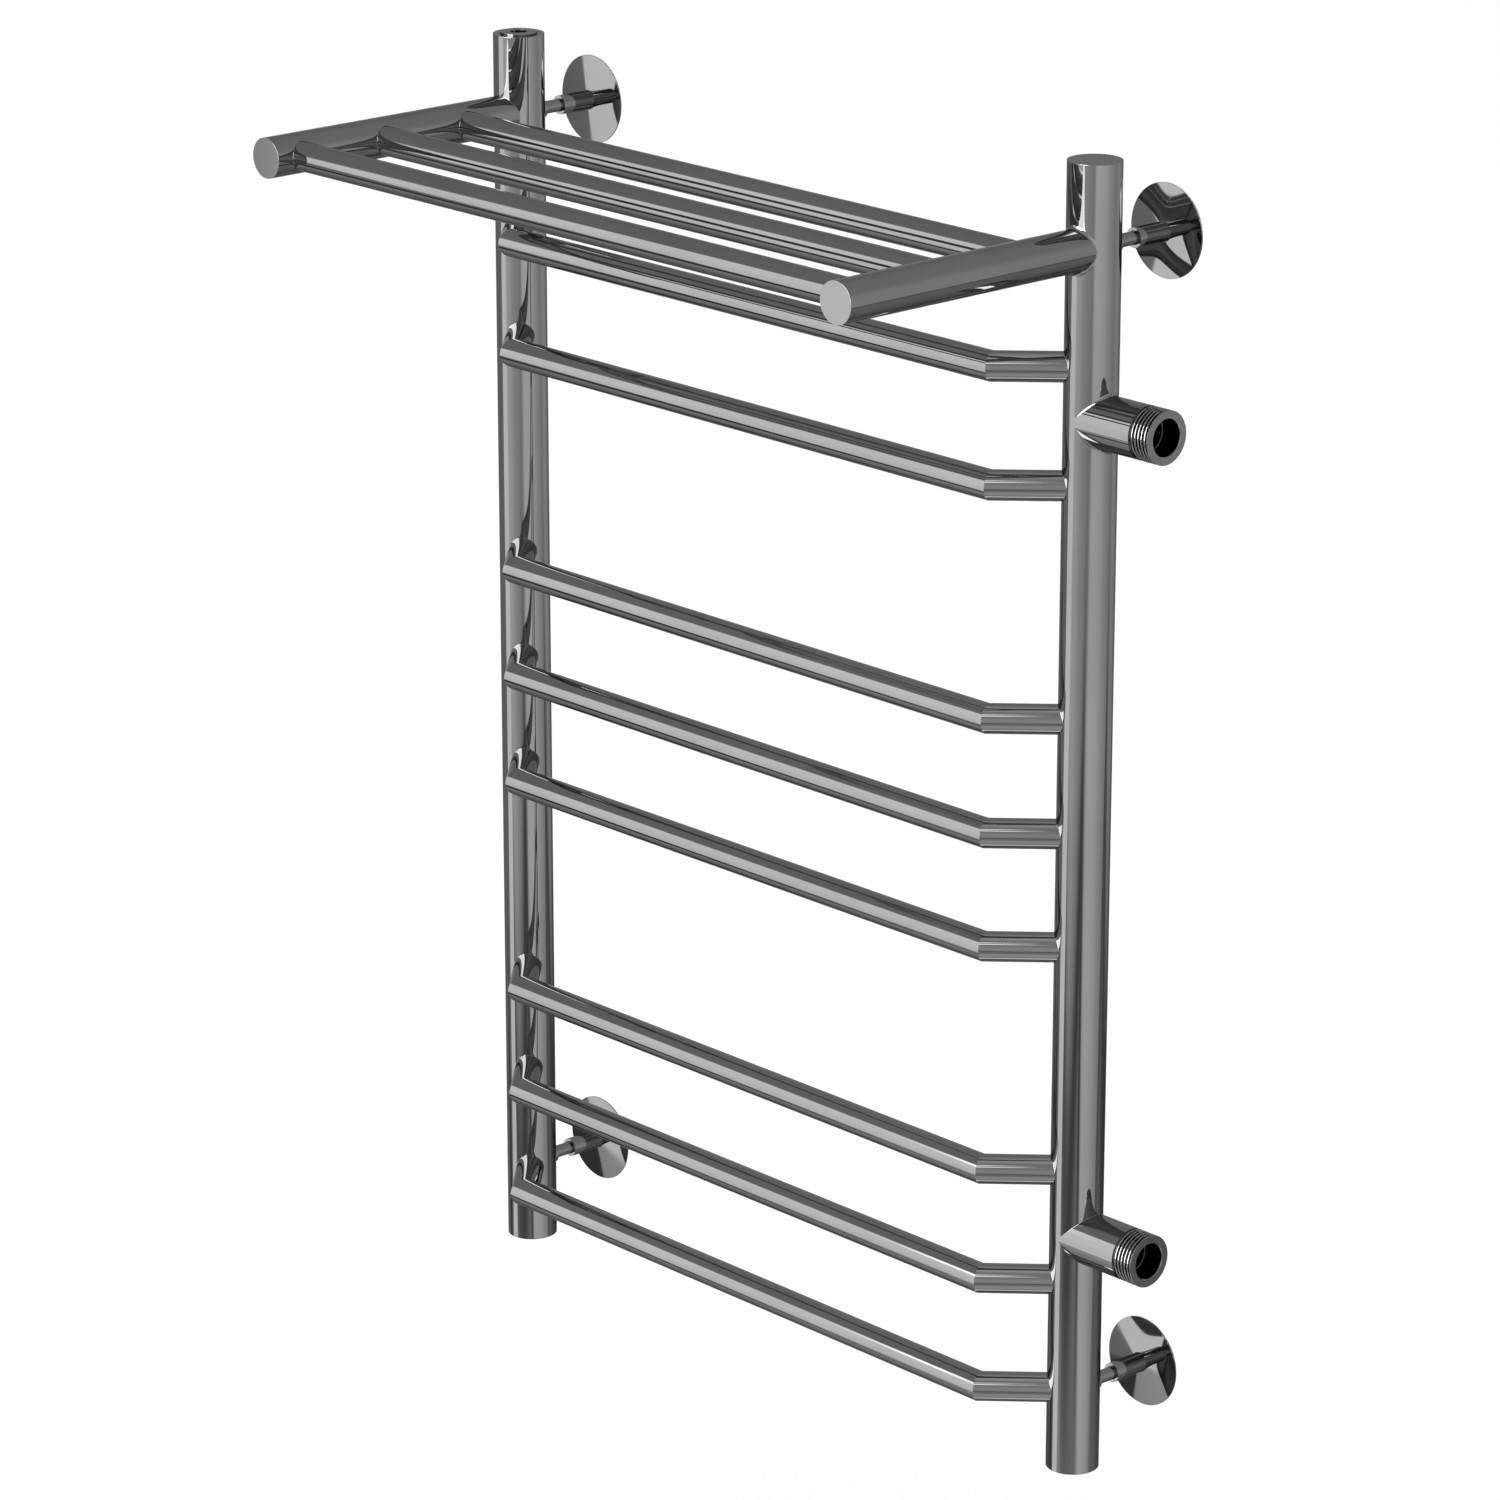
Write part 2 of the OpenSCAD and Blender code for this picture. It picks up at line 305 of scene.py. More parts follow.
def mesh_of(name, skin):
    """A mesh with welded vertices and faces that look outwards."""
    verts, faces = skin
    mesh = bpy.data.meshes.new(name)
    mesh.from_pydata(verts, [], faces)
    bm = bmesh.new()
    bm.from_mesh(mesh)
    bmesh.ops.remove_doubles(bm, verts=bm.verts, dist=SAME_POINT)
    bmesh.ops.recalc_face_normals(bm, faces=bm.faces)
    bm.to_mesh(mesh)
    bm.free()
    return mesh


def shade(mesh):
    mesh.shade_smooth()
    mesh.set_sharp_from_angle(angle=math.radians(SHARP_ANGLE))


def in_scene(name, data):
    obj = bpy.data.objects.new(name, data)
    bpy.context.scene.collection.objects.link(obj)
    return obj


def piece(node, skin):
    """A finished piece that stands for one CAD node, rides on its body and has its slot's material."""
    name = node + "_finished"
    obj = in_scene(name, mesh_of(name, skin))
    shade(obj.data)
    obj.data.materials.append(MATERIALS[SLOT_OF[node]])
    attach(obj, BODY_OF[node])
    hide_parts(node)
    return obj


def cut(obj, skins):
    """Takes the room inside each closed skin out of a piece."""
    material = obj.data.materials[0]
    for skin in skins:
        cutter = in_scene("cutter", mesh_of("cutter", skin))
        boolean = obj.modifiers.new("cut", "BOOLEAN")
        boolean.object = cutter
        boolean.solver = "EXACT"
        evaluated = obj.evaluated_get(bpy.context.evaluated_depsgraph_get())
        mesh = bpy.data.meshes.new_from_object(evaluated)
        obj.modifiers.clear()
        old = obj.data
        obj.data = mesh
        bpy.data.meshes.remove(old)
        bpy.data.objects.remove(cutter)
    obj.data.name = obj.name
    obj.data.materials.clear()
    obj.data.materials.append(material)
    shade(obj.data)


def drill(obj, holes, axis_point, axis):
    """Cuts round holes, each (start, direction, radius, length), then restores true cylinder normals."""
    skins = []
    for start, direction, radius, length in holes:
        profile = [(0, 0), (radius, 0), (radius, length), (0, length)]
        skins.append(turned(start, direction, profile, count=SMALL_AROUND))
    cut(obj, skins)
    round_normals(obj.data, axis_point, axis)


def round_normals(mesh, point, axis):
    """Sets exact normals on the faces that lie round an axis, so that cut faces still reflect smoothly."""
    square_on = 0.999
    normals = np.zeros((len(mesh.loops), 3))
    for face in mesh.polygons:
        offset = np.array(face.center) - point
        radial = unit(offset - (offset @ axis) * axis)
        facing = float(np.array(face.normal) @ radial)
        if abs(facing) < square_on:
            continue
        for loop in face.loop_indices:
            offset = np.array(mesh.vertices[mesh.loops[loop].vertex_index].co) - point
            normals[loop] = math.copysign(1, facing) * unit(offset - (offset @ axis) * axis)
    mesh.normals_split_custom_set(normals.tolist())


# ---- materials ----

def new_material(name, color, metallic, roughness):
    material = bpy.data.materials.new(name)
    material.use_nodes = True
    shader = material.node_tree.nodes["Principled BSDF"]
    shader.inputs["Base Color"].default_value = (*color, 1)
    shader.inputs["Metallic"].default_value = metallic
    shader.inputs["Roughness"].default_value = roughness
    return material, shader


def add_node(material, kind, inputs=None, **settings):
    """A shader node with settings, whose inputs are numbers or other nodes' output sockets."""
    node = material.node_tree.nodes.new(kind)
    for key, value in settings.items():
        setattr(node, key, value)
    for key, value in (inputs or {}).items():
        if isinstance(value, bpy.types.NodeSocket):
            material.node_tree.links.new(value, node.inputs[key])
        else:
            node.inputs[key].default_value = value
    return node


def noise(material, scale, detail, stretch=(1, 1, 1)):
    """Noise in the object's own coordinates; scale is features per metre."""
    place = add_node(material, "ShaderNodeTexCoord")
    mapping = add_node(material, "ShaderNodeMapping", {"Vector": place.outputs["Object"], "Scale": stretch})
    inputs = {"Vector": mapping.outputs["Vector"], "Scale": scale, "Detail": detail}
    return add_node(material, "ShaderNodeTexNoise", inputs).outputs["Fac"]


def spread(material, value, low, high, start=0.35, stop=0.65):
    """Maps the part of a noise between start and stop onto the range from low to high."""
    inputs = {"Value": value, "From Min": start, "From Max": stop, "To Min": low, "To Max": high}
    return add_node(material, "ShaderNodeMapRange", inputs).outputs["Result"]


def tinted(material, scale, detail, dark, light):
    """A colour that wanders between two shades."""
    value = spread(material, noise(material, scale, detail), 0, 1)
    mix = add_node(material, "ShaderNodeMix", {"Factor": value}, data_type="RGBA")
    dark_input, light_input, color_output = mix.inputs[6], mix.inputs[7], mix.outputs[2]
    dark_input.default_value = (*dark, 1)
    light_input.default_value = (*light, 1)
    return color_output


def finish_shader(material, shader, color, roughness, height, strength, distance):
    """Links a colour, a roughness and a bump of this strength and height in metres."""
    inputs = {"Height": height, "Strength": strength, "Distance": distance}
    bump = add_node(material, "ShaderNodeBump", inputs)
    links = material.node_tree.links
    links.new(color, shader.inputs["Base Color"])
    links.new(roughness, shader.inputs["Roughness"])
    links.new(bump.outputs["Normal"], shader.inputs["Normal"])


def polished_steel():
    """Mirror-polished steel with soft wiping haze, water marks and hairline polishing scratches."""
    material, shader = new_material("polished_steel", (0.28, 0.28, 0.282), 1, 0.03)
    shader.inputs["Specular Tint"].default_value = (0.48, 0.48, 0.48, 1)
    haze = spread(material, noise(material, 14, 4), 0.022, 0.05)
    marks = spread(material, noise(material, 260, 2), 0, 0.035, start=0.66, stop=0.72)
    rough = add_node(material, "ShaderNodeMath", {0: haze, 1: marks}, operation="ADD").outputs["Value"]
    color = tinted(material, 9, 3, (0.266, 0.268, 0.273), (0.293, 0.293, 0.294))
    hairlines = noise(material, 900, 2, stretch=(1, 1, 0.02))
    finish_shader(material, shader, color, rough, hairlines, 0.02, 0.02 * MM)
    return material


def screw_steel():
    """Plain steel, a little grainy."""
    material, shader = new_material("screw_steel", (0.3, 0.3, 0.31), 1, 0.3)
    rough = spread(material, noise(material, 900, 4), 0.22, 0.42)
    color = tinted(material, 600, 3, (0.2, 0.2, 0.21), (0.36, 0.36, 0.37))
    finish_shader(material, shader, color, rough, noise(material, 2500, 2), 0.15, 0.03 * MM)
    return material


def needle_brass():
    """Turned brass with a slight tarnish."""
    material, shader = new_material("needle_brass", (0.72, 0.5, 0.22), 1, 0.22)
    rough = spread(material, noise(material, 1200, 3), 0.16, 0.34)
    color = tinted(material, 700, 4, (0.6, 0.4, 0.17), (0.8, 0.58, 0.28))
    tool_marks = noise(material, 4000, 2, stretch=(1, 1, 0.2))
    finish_shader(material, shader, color, rough, tool_marks, 0.2, 0.03 * MM)
    return material


def seal_rubber():
    """Matt black rubber."""
    material, shader = new_material("seal_rubber", (0.02, 0.02, 0.02), 0, 0.65)
    rough = spread(material, noise(material, 1500, 3), 0.55, 0.8)
    color = tinted(material, 800, 3, (0.012, 0.012, 0.012), (0.035, 0.035, 0.035))
    finish_shader(material, shader, color, rough, noise(material, 5000, 3), 0.3, 0.03 * MM)
    return material


MATERIALS = {
    "polished_steel": polished_steel(),
    "screw_steel": screw_steel(),
    "needle_brass": needle_brass(),
    "seal_rubber": seal_rubber(),
}


# ---- posts, caps and bush ----

def on_post(side, z):
    """The point on a post's axis at a height; side is -1 for the left post and 1 for the right one."""
    return np.array([side * POST_X, POST_Y, z])


def post(side, node):
    """A post with a water port at each rung, arm and outlet."""
    low, high = box_of(node)
    foot, top = on_post(side, low[2]), on_post(side, high[2])
    obj = piece(node, tube(foot, top, POST_R, POST_R - POST_WALL))
    holes = []
    for i in RUNGS:
        start = np.array([side * BEND_X, RUNG_Y, middle(f"rung_{i}")[2]])
        leg = on_post(side, start[2]) - start
        holes.append((start, unit(leg), RUNG_R - RUNG_WALL - PORT_SHRINK / 2, np.linalg.norm(leg)))
    arm_start = on_post(side, SHELF_Z) - 2 * POST_R * Y
    holes.append((arm_start, Y, ARM_R - POST_WALL - PORT_SHRINK / 2, 2 * POST_R))
    if side > 0:
        for name in OUTLETS:
            start = on_post(side, middle("outlet_nipple_" + name)[2])
            holes.append((start, X, POST_R - POST_WALL - PORT_SHRINK, 2 * POST_R))
    drill(obj, holes, foot, Z)


def end_cap(node, centre, outward, outer, inner):
    """A flush disc with a spigot; centre is on its outer face."""
    spigot_r, spigot_end = inner - SEAM, -CAP - SPIGOT
    profile = [(0, 0), (outer, 0), (outer, -CAP), (spigot_r, -CAP), (spigot_r, spigot_end), (0, spigot_end)]
    piece(node, turned(centre, outward, eased(profile, EASE, keep=(2, 3))))


def valve_bush():
    """The bush in the top of the left post: a sleeve in the tube under a head as wide as the post."""
    node = "valve_bush"
    bottom = box_of(node)[0][2] - POST_TOP
    sleeve_r = POST_R - POST_WALL - SEAM
    thread_r, gland_r, gland, head = 10.5 * MM, 11 * MM, 2 * MM, 12 * MM
    profile = [
        (thread_r, bottom), (sleeve_r, bottom), (sleeve_r, -head), (POST_R, -head), (POST_R, 0), (gland_r, 0),
        (gland_r, -gland), (thread_r, -gland)]
    skin = turned(on_post(-1, POST_TOP), Z, eased(profile, EASE, closed=True, keep=(2, 3)), closed=True)
    piece(node, skin)


post(-1, "left_post")
post(1, "right_post")
valve_bush()
end_cap("right_top_cap", on_post(1, POST_TOP), Z, POST_R, POST_R - POST_WALL)
for side, node in ((-1, "left_bottom_cap"), (1, "right_bottom_cap")):
    end_cap(node, on_post(side, box_of(node)[0][2]), -Z, POST_R, POST_R - POST_WALL)


# ---- rungs ----

def rung(i):
    """A straight bar between two mitres, and the legs that run from them to the posts at 45 degrees."""
    z = middle(f"rung_{i}")[2]
    tilt = math.pi / 8      # a mitre halves the bend
    bends, normals, bar_ends, legs = {}, {}, {}, []
    for side in (-1, 1):
        bends[side] = np.array([side * BEND_X, RUNG_Y, z])
        normals[side] = np.array([side * math.cos(tilt), math.sin(tilt), 0])
        half_seam = normals[side] * SEAM / 2
        bar_ends[side] = mitre_end(bends[side] - half_seam, normals[side])
        mitre = mitre_end(bends[side] + half_seam, normals[side])
        foot = on_post(side, z)
        weld = welded_end((foot, Z), POST_R)
        legs.append(tube(bends[side], foot, RUNG_R, RUNG_R - RUNG_WALL, mitre, weld))
    bar = tube(bends[-1], bends[1], RUNG_R, RUNG_R - RUNG_WALL, bar_ends[-1], bar_ends[1])
    piece(f"rung_{i}", bar)
    piece(f"rung_{i}_legs", merged(legs))


for i in RUNGS:
    rung(i)


# ---- shelf ----

def shelf_arm(side, name):
    """An arm from a post to its front cap; the photo shows the right one's weld larger."""
    start = on_post(side, SHELF_Z)
    front = np.array([side * POST_X, ARM_FRONT + CAP, SHELF_Z])
    weld = welded_end((start, Z), POST_R, ARM_WELD if side > 0 else FLUSH_WELD)
    piece(f"{name}_shelf_arm", tube(start, front, ARM_R, ARM_R - POST_WALL, weld, butt_end))
    end_cap(f"{name}_arm_cap", front - CAP * Y, -Y, ARM_R, ARM_R - POST_WALL)


def shelf_rail(name):
    y = middle(f"shelf_rail_{name}")[1]
    ends = [np.array([side * POST_X, y, SHELF_Z]) for side in (-1, 1)]
    welds = [welded_end((end, Y), ARM_R) for end in ends]
    piece(f"shelf_rail_{name}", tube(*ends, RUNG_R, RUNG_R - RUNG_WALL, *welds))


shelf_arm(-1, "left")
shelf_arm(1, "right")
for name in ("rear", "middle", "front"):
    shelf_rail(name)


# ---- side outlets ----

def thread_radius(angle, depth_in):
    """Radius of the outlet's external thread at an angle and a distance in from the mouth."""
    turn = (depth_in / THREAD_PITCH + angle / (2 * math.pi)) % 1.0
    across = np.abs(2 * turn - 1)
    bead = 1 - np.sqrt(1 - np.minimum(across / THREAD_SHARE, 1) ** 2)
    return POST_R - THREAD_DEPTH * np.where(across < THREAD_SHARE, RIDGE_ROUNDING * bead, 1)


def outlet_tube(name):
    """The plain tube of an outlet; the photo shows the upper one's weld larger."""
    nipple = "outlet_nipple_" + name
    root = on_post(1, middle(nipple)[2])
    end = np.array([box_of(nipple)[0][0], POST_Y, root[2]])
    weld = welded_end((root, Z), POST_R, OUTLET_WELD if name == "upper" else FLUSH_WELD)
    skin = tube(root, end, POST_R, POST_R - POST_WALL, weld, butt_end, OUTLET_AROUND)
    piece("outlet_tube_" + name, skin)


def outlet_nipple(name):
    """A threaded end with a run-out groove outside and a lip inside where it meets the tube."""
    node = "outlet_nipple_" + name
    low, high = box_of(node)
    mouth = np.array([high[0], POST_Y, middle(node)[2]])
    around = spokes(X, THREAD_AROUND)
    angle = np.linspace(0, 2 * math.pi, THREAD_AROUND, endpoint=False)
    length = high[0] - low[0]
    thread_end = length - RUNOUT
    chamfer, plain, bore_chamfer = 0.2 * MM, 0.5 * MM, 0.3 * MM
    lip, lip_length, groove_r = 0.45 * MM, 1 * MM, POST_R - 0.85 * MM

    def ring(depth_in, radius):
        return mouth - X * depth_in + around * radius

    rings = [ring(0, NIPPLE_BORE_R + bore_chamfer), ring(0, POST_R - chamfer), ring(chamfer, POST_R)]
    rings.append(ring(plain - 0.1 * MM, POST_R))
    steps = int(thread_end / THREAD_PITCH * THREAD_RINGS)
    for k in range(steps + 1):
        depth_in = plain + (thread_end - plain) * k / steps
        rings.append(ring(depth_in, thread_radius(angle, depth_in)[:, None]))
    rings.append(ring(thread_end + SEAM, POST_R - chamfer))
    rings.append(ring(thread_end + 0.15 * MM, groove_r))
    rings.append(ring(length, groove_r))
    rings.append(ring(length, NIPPLE_BORE_R - lip))
    rings.append(ring(length - lip_length, NIPPLE_BORE_R - lip))
    rings.append(ring(length - lip_length, NIPPLE_BORE_R))
    rings.append(ring(bore_chamfer, NIPPLE_BORE_R))
    piece(node, shell(rings, True))


for name in OUTLETS:
    outlet_tube(name)
    outlet_nipple(name)


# ---- wall brackets ----

def off_wall(node):
    """How near to the wall and how far from it a node reaches."""
    low, high = box_of(node)
    return -high[1], -low[1]


def bracket(corner):
    """A sleeve with a base on the wall, a stud that slides in it and a boss on the post for the stud."""
    sleeve, stud, boss = (f"bracket_{part}_{corner}" for part in ("sleeve", "stud", "boss"))
    base_r, stud_r, boss_r = (half_size(node)[0] for node in (sleeve, stud, boss))
    x, z = middle(stud)[0], middle(stud)[2]
    wall, post_centre, out = np.array([x, 0.0, z]), np.array([x, POST_Y, z]), -Y

    mouth, base, floor = off_wall(sleeve)[1], 1.6 * MM, 3.5 * MM
    bore_r, screw_r, grub_hole_r = stud_r + SLIDE_GAP, 2.5 * MM, 2 * MM
    profile = [
        (screw_r, 0), (base_r, 0), (base_r, base), (SLEEVE_R, base), (SLEEVE_R, mouth), (bore_r, mouth),
        (bore_r, floor), (screw_r, floor)]
    obj = piece(sleeve, turned(wall, out, eased(profile, WIDE_EASE, closed=True), closed=True))
    grub_at = wall + out * -middle(f"grub_screw_{corner}")[1]
    drill(obj, [(grub_at, -Z, grub_hole_r, 2 * SLEEVE_R)], wall, out)

    stud_low, stud_high = off_wall(stud)
    profile = [(0, stud_low), (stud_r, stud_low), (stud_r, stud_high), (0, stud_high)]
    piece(stud, turned(wall, out, eased(profile, STUD_EASE)))

    boss_face = wall + out * off_wall(boss)[0]
    weld = welded_end((post_centre, Z), POST_R, BOSS_WELD)
    skin = tube(boss_face, post_centre, boss_r, stud_r + SEAM, eased_end, weld, SMALL_AROUND)
    piece(boss, skin)

    rosette(f"rosette_{corner}", wall, out)
    grub_screw(f"grub_screw_{corner}", grub_at)


def rosette(node, wall, out):
    """A thin cone round the sleeve with an upright edge at the wall."""
    rim, top = half_size(node)[0], off_wall(node)[1]
    opening, edge, sheet = SLEEVE_R + SLIDE_GAP, 0.8 * MM, 0.8 * MM
    slope = (top - edge) / (rim - opening)
    inner_edge = edge - sheet * (1 - slope)
    profile = [
        (opening, top), (rim, edge), (rim, 0), (rim - sheet, 0), (rim - sheet, inner_edge),
        (opening, top - sheet)]
    profile = eased(profile, FINE_EASE, closed=True)
    piece(node, turned(wall, out, profile, closed=True, count=ROSETTE_AROUND))


def grub_screw(node, axis_point):
    """A set screw whose socket blends from six-sided to the round face about its mouth."""
    low, high = box_of(node)
    centre, length = np.array([axis_point[0], axis_point[1], low[2]]), high[2] - low[2]
    radius, chamfer = half_size(node)[0], 0.15 * MM
    socket, depth, socket_point = 1 * MM, 1.1 * MM, 0.3 * MM
    around = spokes(Z, SMALL_AROUND)
    angle = np.linspace(0, 2 * math.pi, SMALL_AROUND, endpoint=False)
    hexagon = (socket / np.cos((angle + math.pi / 6) % (math.pi / 3) - math.pi / 6))[:, None]

    def ring(height, r):
        return centre + Z * height + around * r

    # the socket, drawn in at its floor and widened at its mouth
    rings = [centre + Z * (depth + socket_point), ring(depth, hexagon * 0.96)]
    rings += [ring(depth - 0.05 * MM, hexagon), ring(0.1 * MM, hexagon), ring(0, hexagon * 1.08)]
    for height, inset in ((0, 0.25), (0.05, 0.1), (0.2, 0), (0.3, 0)):      # rounded edge of the face, in mm
        rings.append(ring(height * MM, radius - inset * MM))
    rings += [ring(length - chamfer, radius), ring(length, radius - chamfer), centre + Z * length]
    piece(node, shell(rings, False))


for corner in CORNERS:
    bracket(corner)


# ---- bleed valve: heights are from the top of the left post ----

VALVE_TOP = on_post(-1, POST_TOP)


def ring_seal(node, centre_r, height, wire_r):
    """An O-ring round the valve's axis."""
    steps = 24
    angles = [2 * math.pi * k / steps for k in range(steps)]
    profile = [(centre_r + wire_r * math.cos(a), height + wire_r * math.sin(a)) for a in angles]
    piece(node, turned(VALVE_TOP, Z, profile, closed=True, count=SMALL_AROUND))


def valve_body():
    """A flange over the seal, a key bore with grip grooves, and the needle's chamber and seat."""
    node = "bleed_valve_body"
    low, high = box_of(node)
    flange_r, flange, bottom = half_size(node)[0], high[2] - POST_TOP, low[2] - POST_TOP
    shank_r, neck_r, gland = 10.45 * MM, 9 * MM, 2 * MM
    bore_r, bore, chamber_r, chamber, seat_r = 5.25 * MM, 9 * MM, 3.05 * MM, 16 * MM, 1 * MM
    grooves, first_groove, groove_pitch, groove_depth = 8, 0.8 * MM, 0.9 * MM, 0.6 * MM
    key_grip = []
    for k in range(grooves):
        crest = -first_groove - groove_pitch * k
        key_grip += [(bore_r, crest), (bore_r + groove_depth, crest - groove_pitch / 2)]
    seat = -chamber - chamber_r + seat_r
    profile = [
        (seat_r, bottom), (shank_r, bottom), (shank_r, -gland), (neck_r, -gland), (neck_r, 0), (flange_r, 0),
        (flange_r, flange), (bore_r, flange), *key_grip, (bore_r, -bore), (chamber_r, -bore),
        (chamber_r, -chamber), (seat_r, seat)]
    piece(node, turned(VALVE_TOP, Z, eased(profile, FINE_EASE, closed=True), closed=True))


def box_skin(centre, size):
    signs = [(i, j, k) for i in (-1, 1) for j in (-1, 1) for k in (-1, 1)]
    verts = [tuple(centre[a] + s[a] * size[a] / 2 for a in range(3)) for s in signs]
    faces = [(0, 1, 3, 2), (4, 6, 7, 5), (0, 4, 5, 1), (2, 3, 7, 6), (0, 2, 6, 4), (1, 5, 7, 3)]
    return verts, faces


def needle():
    """A needle screw with a cone tip, a groove for its seal and a slot for a screwdriver."""
    node = "bleed_needle"
    low, high = box_of(node)
    top, tip = high[2] - POST_TOP, low[2] - POST_TOP
    thread_r, stem_r, tip_r = 3 * MM, 2.2 * MM, 0.5 * MM
    groove_top, groove_bottom, collar_bottom = -11.6 * MM, -13 * MM, -13.6 * MM
    cone_top = tip + stem_r - tip_r
    profile = [
        (0, tip), (tip_r, tip), (stem_r, cone_top), (stem_r, collar_bottom), (thread_r, collar_bottom),
        (thread_r, groove_bottom), (stem_r, groove_bottom), (stem_r, groove_top), (thread_r, groove_top),
        (thread_r, top), (0, top)]
    obj = piece(node, turned(VALVE_TOP, Z, eased(profile, EASE), count=SMALL_AROUND))
    slot_size = (8 * MM, 1 * MM, 3 * MM)
    cut(obj, [box_skin(VALVE_TOP + Z * top, slot_size)])


valve_body()
ring_seal("bleed_valve_seal", centre_r=10 * MM, height=-1 * MM, wire_r=0.95 * MM)
ring_seal("bleed_needle_seal", centre_r=2.62 * MM, height=-12.3 * MM, wire_r=0.4 * MM)
needle()


# ---- the room that the metal reflects ----

# Angles are in degrees: azimuth 0 is +Y, 90 is +X and 180 is -Y. Greys are those of the room's image in the
# metal, from 0 to 255: judged from the reflections in the photo, then set and changed until renders looked
# alike. A patch has four limits: start, full, fading and gone.

METAL_LEVEL = 0.28      # what the polished metal gives back of the light that it reflects
WALL_GREYS = [
    (-180, 134), (-172, 140), (-157, 146), (-152, 176), (-128.5, 176), (-127.2, 96), (-116, 90), (-100, 96),
    (-80, 104), (-60, 108), (-45, 120), (-30, 96), (-18, 92), (-8, 114), (2, 122), (20, 124), (30, 115),
    (38, 109), (50, 115), (60, 122), (70, 127), (82, 138), (92, 143), (104, 147), (120, 148), (130.8, 141),
    (131.8, 119), (138, 107), (150, 113), (160, 118), (170, 125), (176, 126), (180, 134)]
FLOOR_GREYS = [
    (-180, 105), (-150, 134), (-129, 126), (-124, 116), (-110, 108), (-85, 86), (-60, 93), (-30, 86),
    (10, 72), (30, 84), (50, 88), (80, 118), (122, 120), (135, 98), (150, 92), (165, 95), (180, 103)]
CEILING_GREYS = [
    (-180, 100), (-120, 92), (-60, 95), (0, 98), (60, 100), (120, 112), (150, 110), (180, 100)]
WALL_DISTANCE = {"right": 1.97, "back": 2.7, "left": 2.1, "front": 2.55}    # in eye heights
HIGH_FLOOR_LINE = -26   # elevation of the floor's edge below the panel and the painted corner shade
PANEL = (-155, -151, -129.2, -127.2)    # a bright wall panel with a slanting top
BACK_RIGHT = (100, 125, 150, 165)       # a part of the room with a paler wall and floor and a darker ceiling
# a painted shade where the wall meets the floor beside the panel: its azimuths and its grey
CORNER_SHADE_SIDES = (-128.2, -126.8, -108, -103)
CORNER_SHADE_GREY = 46
LOW_LIGHT_GREY = 215
PANES = (134.6, 135.2, 138, 139)        # two bright panes above each other
UPPER_PANE, UPPER_PANE_GREY = (41.5, 42.5, 47.5, 48.5), 110
LOWER_PANE, LOWER_PANE_GREY = (30, 31.5, 36, 37.5), 150
STRIP_ENDS, STRIP_GREY = (17, 19, 27, 29), 95
WINDOW_SIDES = (163.5, 166.5, 202.5, 203.5)     # counted from 0 to 360
WINDOW_ENDS = (-8.5, -7.5, 41.5, 42.5)
WINDOW_LIGHT = 12.0


def grey_to_light(grey):
    """Light that shows as this 0-255 grey after one reflection in the metal."""
    value = np.asarray(grey, float) / 255
    return np.where(value < 0.04, value / 12.92, ((value + 0.055) / 1.055) ** 2.4) / METAL_LEVEL


def by_azimuth(azimuth, stops):
    angles, greys = zip(*stops)
    return np.interp(azimuth, angles, greys)


def patch(value, limits):
    """1 inside the limits and 0 outside them, with soft edges."""
    start, full, fading, gone = limits
    return smooth(value, start, full) * (1 - smooth(value, fading, gone))


def hump(value, centre, width):
    """1 at a centre, fading to both sides."""
    return np.exp(-((value - centre) / width) ** 2)


def blend(level, other, share):
    return level * (1 - share) + other * share


def floor_edge(azimuth, in_panel):
    """Elevation at which the walls meet the floor of a rectangular room."""
    x, y = np.sin(np.radians(azimuth)), np.cos(np.radians(azimuth))
    across = np.where(x > 0, x / WALL_DISTANCE["right"], -x / WALL_DISTANCE["left"])
    ahead = np.where(y > 0, y / WALL_DISTANCE["back"], -y / WALL_DISTANCE["front"])
    edge = -np.degrees(np.arctan(np.maximum(across, ahead)))
    raised = in_panel | (azimuth > -140) & (azimuth < -106)
    return np.where(raised, HIGH_FLOOR_LINE, edge)


def upper_greys(azimuth, elevation, panel, back_right):
    """The walls and, in a soft rise or above the panel's top, the ceiling."""
    wall = by_azimuth(azimuth, WALL_GREYS) + 7 * panel * smooth(elevation, -15, 5)
    wall = wall + 11 * back_right * hump(elevation, 1, 12)
    ceiling = by_azimuth(azimuth, CEILING_GREYS) - 6 * back_right + 28 * smooth(elevation, 52, 80)
    panel_top = 24 + (-129 - azimuth) * 2
    panel_rise = smooth(elevation, panel_top - 1.5, panel_top + 1.5)
    return blend(wall, ceiling, np.where(panel > 0.5, panel_rise, smooth(elevation, 12, 38)))


def lower_greys(azimuth, elevation, back_right):
    """The floor, whose nearer part is paler in the back right."""
    paler = 30 * smooth(-elevation, 30, 48) - 14 * smooth(-elevation, 55, 75)
    return by_azimuth(azimuth, FLOOR_GREYS) + back_right * paler


def corner_shade(azimuth, elevation):
    """The share of a painted shade where the wall meets the floor beside the panel, with a lower part at one
    end.
    """
    top = -20.5 - 5 * smooth(-azimuth, 116, 121)
    bottom = -36 + 0.35 * (azimuth + 128)
    return patch(azimuth, CORNER_SHADE_SIDES) * patch(elevation, (bottom - 1, bottom + 1, top - 1, top + 1.5))


def low_light(azimuth, elevation):
    """The share of a small bright patch almost straight below."""
    x = np.sin(np.radians(azimuth)) * np.cos(np.radians(elevation))
    y = np.cos(np.radians(azimuth)) * np.cos(np.radians(elevation))
    return (elevation < 0) * (1 - smooth(np.hypot(x - 0.08, y + 0.08), 0.03, 0.07))


